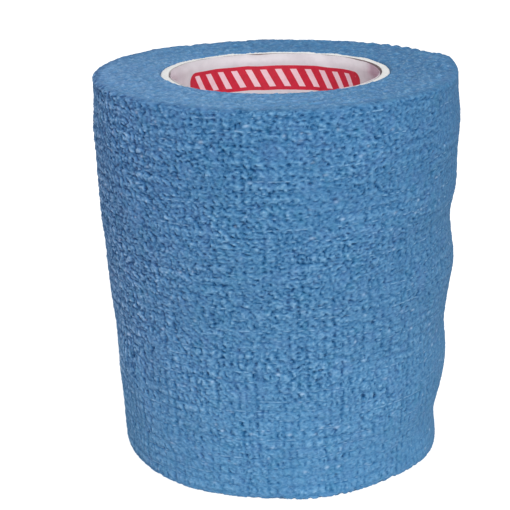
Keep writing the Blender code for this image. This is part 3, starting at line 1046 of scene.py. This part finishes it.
def cloth_material():
    n = Nodes("bandage_cloth")
    relief, ending, fleck = n.value("relief"), n.value("ending"), n.value("fleck")
    unrolled = n.combined(n.value("along"), n.value("up"))
    # crinkle: painted shade, dark in the pits, and painted light, pale on the ridges
    fine = n.noise(1.5, 3.0, 0.62, n.scaled(unrolled, (0.55, 1.7, 1.0)))
    relief = n.math("ADD", relief, n.between(fine, 0.3, 0.7, -0.035, 0.035))
    crinkled = n.ramp(
        relief,
        (0.04, srgb(12, 60, 104)),
        (0.22, srgb(36, 92, 140)),
        (0.44, srgb(70, 125, 171)),
        (0.62, srgb(93, 147, 191)),
        (0.78, srgb(121, 170, 209)),
        (0.93, srgb(156, 196, 227)),
    )
    # the end faces too: painted shade in the low places, paler on the raised turns
    edges = n.ramp(
        relief,
        (0.05, srgb(60, 110, 156)),
        (0.40, srgb(84, 134, 179)),
        (0.65, srgb(99, 148, 192)),
        (0.95, srgb(128, 172, 209)),
    )
    # loops of yarn: thin pale lines as painted highlight, each with a painted shadow line just beneath; both stronger
    # on the left flank
    flank = n.math("SUBTRACT", 1.0, ending)
    loops = n.scaled(unrolled, (0.62, 1.35, 1.0))
    pale = n.between(n.math("ABSOLUTE", n.math("SUBTRACT", n.noise(1.0, 1.5, 0.5, loops), 0.5)), 0.0, 0.040, 1.0, 0.0)
    lower = n.moved(loops, (0.02, 0.30, 0.0))
    loop_shadow = n.between(n.math("ABSOLUTE", n.math("SUBTRACT", n.noise(1.0, 1.5, 0.5, lower), 0.5)), 0.0, 0.045, 1.0, 0.0)
    place = n.tree.nodes.new("ShaderNodeSeparateXYZ")
    n.join(n.place(), place.inputs[0])
    left = n.math("MULTIPLY", n.between(place.outputs["X"], -0.006, -0.027), n.between(n.value("up"), 10.0, 34.0, 0.10, 1.0))
    crinkled = n.mix(n.math("MULTIPLY", loop_shadow, n.between(left, 0.0, 1.0, 0.16, 0.28)), crinkled, srgb(36, 80, 124))
    crinkled = n.mix(n.math("MULTIPLY", pale, n.between(left, 0.0, 1.0, 0.18, 0.24)), crinkled, srgb(146, 184, 212))
    # painted shade: small dark spots in the low places, more of them on the left
    pit_shade = n.spots(n.scaled(n.wavy(unrolled, 0.9, 0.55), (0.78, 1.06, 1.0)))
    pit_shade = n.math("MULTIPLY", n.between(pit_shade, 0.40, 0.20), n.between(relief, 0.70, 0.46))
    pit_shade = n.math("MULTIPLY", pit_shade, n.between(left, 0.0, 1.0, 0.10, 0.62))
    crinkled = n.mix(pit_shade, crinkled, srgb(15, 52, 97))
    # painted shade: longer dark spots in the low places at the far left
    long_pit_shade = n.spots(n.scaled(n.wavy(n.moved(unrolled, (3.1, 0.4, 0.0)), 0.8, 0.60), (0.42, 0.98, 1.0)))
    long_pit_shade = n.math("MULTIPLY", n.between(long_pit_shade, 0.36, 0.18), n.between(relief, 0.86, 0.56))
    long_pit_shade = n.math("MULTIPLY", long_pit_shade, n.between(place.outputs["X"], -0.026, -0.0335, 0.0, 0.20))
    long_pit_shade = n.math("MULTIPLY", long_pit_shade, n.between(n.value("up"), 10.0, 34.0, 0.10, 1.0))
    crinkled = n.mix(long_pit_shade, crinkled, srgb(26, 66, 112))
    # painted light from below: the flank paler low down and darker towards the top
    height = n.between(n.value("up"), 8.0, 68.0)
    crinkled = n.mix(1.0, crinkled, n.ramp(height, (0.0, (1.0, 1.0, 1.0)), (0.5, (0.85, 0.85, 0.86)), (1.0, (0.74, 0.79, 0.83))), "MULTIPLY")
    # painted shade: the end faces darker towards the back and the right
    slope = n.math("ADD", place.outputs["X"], n.math("MULTIPLY", place.outputs["Y"], 0.8))
    edges = n.mix(1.0, edges, n.ramp(n.between(slope, -0.030, 0.030), (0.0, (1.0, 1.0, 1.0)), (1.0, (0.60, 0.76, 0.83))), "MULTIPLY")
    # pale loose fibre on the cut edges, thinned towards the back as painted shade
    back_shade = n.between(place.outputs["Y"], 0.012, 0.030, 1.0, 0.55)
    fuzz = n.math("MULTIPLY", n.between(n.noise(1250.0, 3.0, 0.6), 0.50, 0.72, 0.0, 0.62), back_shade)
    edges = n.mix(fuzz, edges, srgb(150, 184, 212))
    worn = n.between(n.noise(700.0, 4.0, 0.6, n.stretched((1.0, 0.7, 0.6))), 0.50, 0.75, 0.0, 0.50)
    edges = n.mix(worn, edges, srgb(70, 112, 156))
    colour = n.mix(ending, crinkled, edges)
    # each elastic thread shows through as a thin pale dash, here and there, with a painted shadow just beneath it
    above, beside = n.value("course_sin"), n.math("GREATER_THAN", n.value("course_cos"), 0.0)
    shown = n.math("MULTIPLY", n.math("MULTIPLY", n.value("shown"), flank), beside)
    below = n.math("ADD", n.math("MULTIPLY", above, 0.78), n.math("MULTIPLY", n.value("course_cos"), 0.62))
    shade = n.math("MULTIPLY", n.between(n.math("ABSOLUTE", below), 0.45, 0.10), shown)
    colour = n.mix(n.math("MULTIPLY", shade, 0.35), colour, srgb(34, 84, 132))
    line = n.math("MULTIPLY", n.between(n.math("ABSOLUTE", above), 0.42, 0.12), shown)
    colour = n.mix(n.math("MULTIPLY", line, 0.44), colour, srgb(154, 193, 225))
    colour = n.mix(n.math("MULTIPLY", fleck, 0.80), colour, srgb(174, 203, 232))
    # uneven dye, a little towards violet and towards green
    violet = n.between(n.noise(330.0, 3.0, 0.55), 0.48, 0.72, 0.0, 0.20)
    # painted light: the left flank lightened and tinted violet, a painted sheen where the light grazes it
    leftward = n.between(place.outputs["X"], -0.010, -0.033)
    leftward = n.math("MULTIPLY", leftward, n.between(place.outputs["Z"], 0.006, 0.028, 0.35, 1.0))
    leftward = n.math("MULTIPLY", leftward, n.between(place.outputs["Y"], 0.030, 0.004))
    leftward = n.math("MULTIPLY", leftward, n.between(ending, 0.0, 1.0, 1.0, 0.36))
    colour = n.mix(leftward, colour, n.mix(1.0, colour, (1.32, 1.14, 1.18), "MULTIPLY"))
    colour = n.mix(n.math("ADD", violet, n.math("MULTIPLY", leftward, 0.08)), colour, srgb(98, 126, 180))
    green = n.between(n.noise(410.0, 3.0, 0.55, n.stretched((1.0, 1.0, 0.8))), 0.55, 0.75, 0.0, 0.24)
    colour = n.mix(green, colour, srgb(58, 130, 160))
    # loose pale fibres lying on the surface
    specks = n.between(n.noise(2.2, 2.0, 0.5, n.scaled(unrolled, (0.6, 1.6, 1.0))), 0.66, 0.78, 0.0, 0.40)
    colour = n.mix(specks, colour, srgb(164, 192, 218))
    n.set(Base_Color=colour, Metallic=0.0, IOR=1.45, Specular_IOR_Level=0.07, Sheen_Weight=0.04, Sheen_Roughness=0.55)
    n.shader.inputs["Sheen Tint"].default_value = (*srgb(210, 220, 235), 1.0)
    n.set(Roughness=n.between(n.noise(900.0, 3.0, 0.6), 0.3, 0.7, 0.84, 0.98))
    felt = n.math("ADD", n.noise(3800.0, 4.0, 0.65), n.math("MULTIPLY", fine, 1.5))
    n.bump(felt, 0.00009, 0.75)
    return n.material


def card_material():
    n = Nodes("core_card")
    cut = n.value("cut")
    face = n.mix(n.between(n.noise(300.0, 4.0, 0.6), 0.35, 0.7), srgb(236, 234, 234), srgb(222, 219, 220))
    rim = n.mix(n.between(n.noise(1800.0, 4.0, 0.65, n.stretched((1.0, 1.0, 3.0))), 0.35, 0.7), srgb(244, 244, 243), srgb(226, 226, 225))
    # painted shadow for the gap behind the liner's upper edge
    gap_shadow = n.mix(n.between(n.noise(420.0, 3.0, 0.6), 0.35, 0.7), srgb(146, 127, 130), srgb(120, 104, 108))
    colour = n.mix(cut, n.mix(n.between(n.value("gap_shadow"), 0.5, 1.0), face, gap_shadow), rim)
    n.set(Base_Color=colour, Metallic=0.0, Specular_IOR_Level=0.25)
    n.set(Roughness=n.between(n.noise(1200.0, 3.0, 0.6), 0.3, 0.7, 0.74, 0.92))
    n.bump(n.noise(2600.0, 5.0, 0.65), 0.00008, 0.6)
    return n.material


# The print: a red bar with round ends and a plain ornament of slanted strokes.
BAR_HALF, BAR_MIDDLE = 20.2, -0.5   # half its length round the bore, and its middle
BAR_LOW, BAR_HIGH = 67.0, 72.1
BAR_ROUND = 1.9


def print_material():
    n = Nodes("printed_paper")
    arc, height = n.value("arc"), n.value("height")
    middle = (BAR_LOW + BAR_HIGH) / 2
    half = (BAR_HIGH - BAR_LOW) / 2
    up = n.math("SUBTRACT", height, middle)

    def rounded(half_long, half_high, corner):
        """Distance outside a bar with round corners, below 0 inside it."""
        x = n.math("MAXIMUM", n.math("SUBTRACT", n.math("ABSOLUTE", n.math("SUBTRACT", arc, BAR_MIDDLE)), half_long - corner), 0.0)
        y = n.math("MAXIMUM", n.math("SUBTRACT", n.math("ABSOLUTE", up), half_high - corner), 0.0)
        return n.math("SUBTRACT", n.math("SQRT", n.math("ADD", n.math("MULTIPLY", x, x), n.math("MULTIPLY", y, y))), corner)

    edge = rounded(BAR_HALF, half, BAR_ROUND)
    bar = n.between(edge, 0.03, -0.03)
    # slanted strokes in the middle of the bar
    slanted = n.math("ADD", n.math("SUBTRACT", arc, BAR_MIDDLE), n.math("MULTIPLY", up, -0.55))
    stroke = n.math("ABSOLUTE", n.math("SUBTRACT", n.math("FRACT", n.math("DIVIDE", slanted, 3.1)), 0.5))
    field = n.between(rounded(BAR_HALF - 1.5, half - 0.75, 0.4), 0.03, -0.03)
    pale = n.math("MULTIPLY", n.between(stroke, 0.225, 0.205), field)
    paper = n.mix(n.between(n.noise(260.0, 4.0, 0.6), 0.35, 0.7), srgb(218, 212, 217), srgb(203, 196, 202))
    # painted shade with a pink painted reflection of the red print, on both sides of the bar
    side_shade = n.between(n.math("ABSOLUTE", arc), 21.0, 32.0)
    side_shade = n.math("MULTIPLY", side_shade, n.between(n.math("ABSOLUTE", arc), 42.0, 35.0))
    paper = n.mix(side_shade, paper, n.mix(1.0, paper, (0.98, 0.86, 0.93), "MULTIPLY"))
    # painted light: the paper on the right lightened
    side_light = n.math("MULTIPLY", n.between(arc, -4.0, -14.0), n.between(arc, -32.0, -24.0))
    paper = n.mix(side_light, paper, n.mix(1.0, paper, (1.16, 1.15, 1.15), "MULTIPLY"))
    # painted shadow in the pocket where the liner's upper edge curls away on the right
    pocket_shadow = n.math("MULTIPLY", n.between(arc, -23.0, -25.5), n.between(arc, -36.0, -32.0))
    pocket_shadow = n.math("MULTIPLY", pocket_shadow, n.between(height, 71.8, 73.0))
    paper = n.mix(pocket_shadow, paper, n.mix(1.0, paper, (0.74, 0.56, 0.64), "MULTIPLY"))
    red = n.mix(n.between(n.noise(700.0, 3.0, 0.6), 0.35, 0.7), srgb(206, 34, 60), srgb(190, 28, 52))
    light = n.mix(n.between(n.noise(700.0, 3.0, 0.6), 0.35, 0.7), srgb(242, 206, 214), srgb(236, 190, 200))
    colour = n.mix(bar, paper, n.mix(pale, red, light))
    n.set(Base_Color=colour, Metallic=0.0, Specular_IOR_Level=0.4)
    n.set(Roughness=n.between(n.noise(500.0, 3.0, 0.6), 0.3, 0.7, 0.42, 0.60))
    n.bump(n.noise(1400.0, 4.0, 0.6), 0.00004, 0.5)
    return n.material


def floor_material():
    n = Nodes("floor_plain")
    n.set(Base_Color=n.mix(n.between(n.noise(3.0, 2.0, 0.5), 0.3, 0.7), (0.52, 0.52, 0.52), (0.50, 0.50, 0.505)), Roughness=0.9)
    n.set(Specular_IOR_Level=0.1, Emission_Strength=FLOOR_GLOW)
    n.shader.inputs["Emission Color"].default_value = (1.0, 1.0, 1.0, 1.0)
    return n.material


# ------------------------------------------------------------ camera, light, floor
SKY = ((0.00, 0.56), (0.45, 0.66), (0.60, 0.66), (1.00, 0.56))   # share of the way from below to above, strength
FLOOR_GLOW = 0.82
KEY_PLACE, KEY_SIZE, KEY_POWER = (0.16, -0.78, 0.50), 0.36, 5.5


def camera():
    pitch, roll = math.radians(18.126), math.radians(-1.268)
    forward = Vector((0, math.cos(pitch), -math.sin(pitch)))
    right, up = Vector((1, 0, 0)), Vector((0, math.sin(pitch), math.cos(pitch)))
    across = right * math.cos(roll) + up * math.sin(roll)
    upright = up * math.cos(roll) - right * math.sin(roll)
    matrix = Matrix((across, upright, -forward)).transposed().to_4x4()
    matrix.translation = Vector((-4.645, -278.943, 129.112)) * MM
    data = bpy.data.cameras.new("camera")
    data.lens, data.sensor_width = 103.45, 36.0
    data.clip_start, data.clip_end = 0.01, 20.0
    made = bpy.data.objects.new("camera", data)
    bpy.context.scene.collection.objects.link(made)
    made.matrix_world = matrix
    bpy.context.scene.camera = made


def lamp(name, place, target, size, power, colour=(1, 1, 1)):
    data = bpy.data.lights.new(name, "AREA")
    data.shape, data.size, data.energy, data.color = "DISK", size, power, colour
    made = bpy.data.objects.new(name, data)
    made.location = place
    made.rotation_mode = "QUATERNION"
    made.rotation_quaternion = (Vector(target) - Vector(place)).to_track_quat("-Z", "Y")
    bpy.context.scene.collection.objects.link(made)
    return made


def surroundings():
    scene = bpy.context.scene
    scene.view_settings.view_transform = "Standard"
    scene.view_settings.look = "None"
    world = bpy.data.worlds.new("studio")
    scene.world = world
    world.use_nodes = True
    tree = world.node_tree
    background = tree.nodes["Background"]
    place = tree.nodes.new("ShaderNodeTexCoord")
    split = tree.nodes.new("ShaderNodeSeparateXYZ")
    rise = tree.nodes.new("ShaderNodeMapRange")
    shade = tree.nodes.new("ShaderNodeValToRGB")
    tree.links.new(place.outputs["Generated"], split.inputs[0])
    tree.links.new(split.outputs["Z"], rise.inputs["Value"])
    for key, number in (("From Min", -1.0), ("From Max", 1.0), ("To Min", 0.0), ("To Max", 1.0)):
        rise.inputs[key].default_value = number
    tree.links.new(rise.outputs["Result"], shade.inputs["Fac"])
    elements = shade.color_ramp.elements
    for k, (at, strength) in enumerate(SKY):
        element = elements[k] if k in (0, 1) else elements.new(at)
        element.position = at
        element.color = (strength, strength, strength, 1.0)
    tree.links.new(shade.outputs["Color"], background.inputs["Color"])
    background.inputs["Strength"].default_value = 1.0
    lamp("key", KEY_PLACE, (0, 0, 0.04), KEY_SIZE, KEY_POWER)
    mesh = bpy.data.meshes.new("floor")
    side = 3.0
    mesh.from_pydata([(-side, -side, 0), (side, -side, 0), (side, side, 0), (-side, side, 0)], [], [(0, 1, 2, 3)])
    mesh.materials.append(floor_material())
    floor = bpy.data.objects.new("floor", mesh)
    floor.location.z = -0.00005
    scene.collection.objects.link(floor)
    floor.visible_diffuse = False     # its glow whitens the ground and leaves the roll alone
    floor.visible_glossy = False


# ---------------------------------------------------------------------- build
camera()
surroundings()

cloth = cloth_material()
for piece in wound_pieces(cloth):
    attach(piece, "root")
    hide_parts("bandage_roll")

core = card_core(card_material())
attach(core, "root")
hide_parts("core_tube")

liner = paper_liner(print_material())
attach(liner, "root")
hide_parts("core_liner")
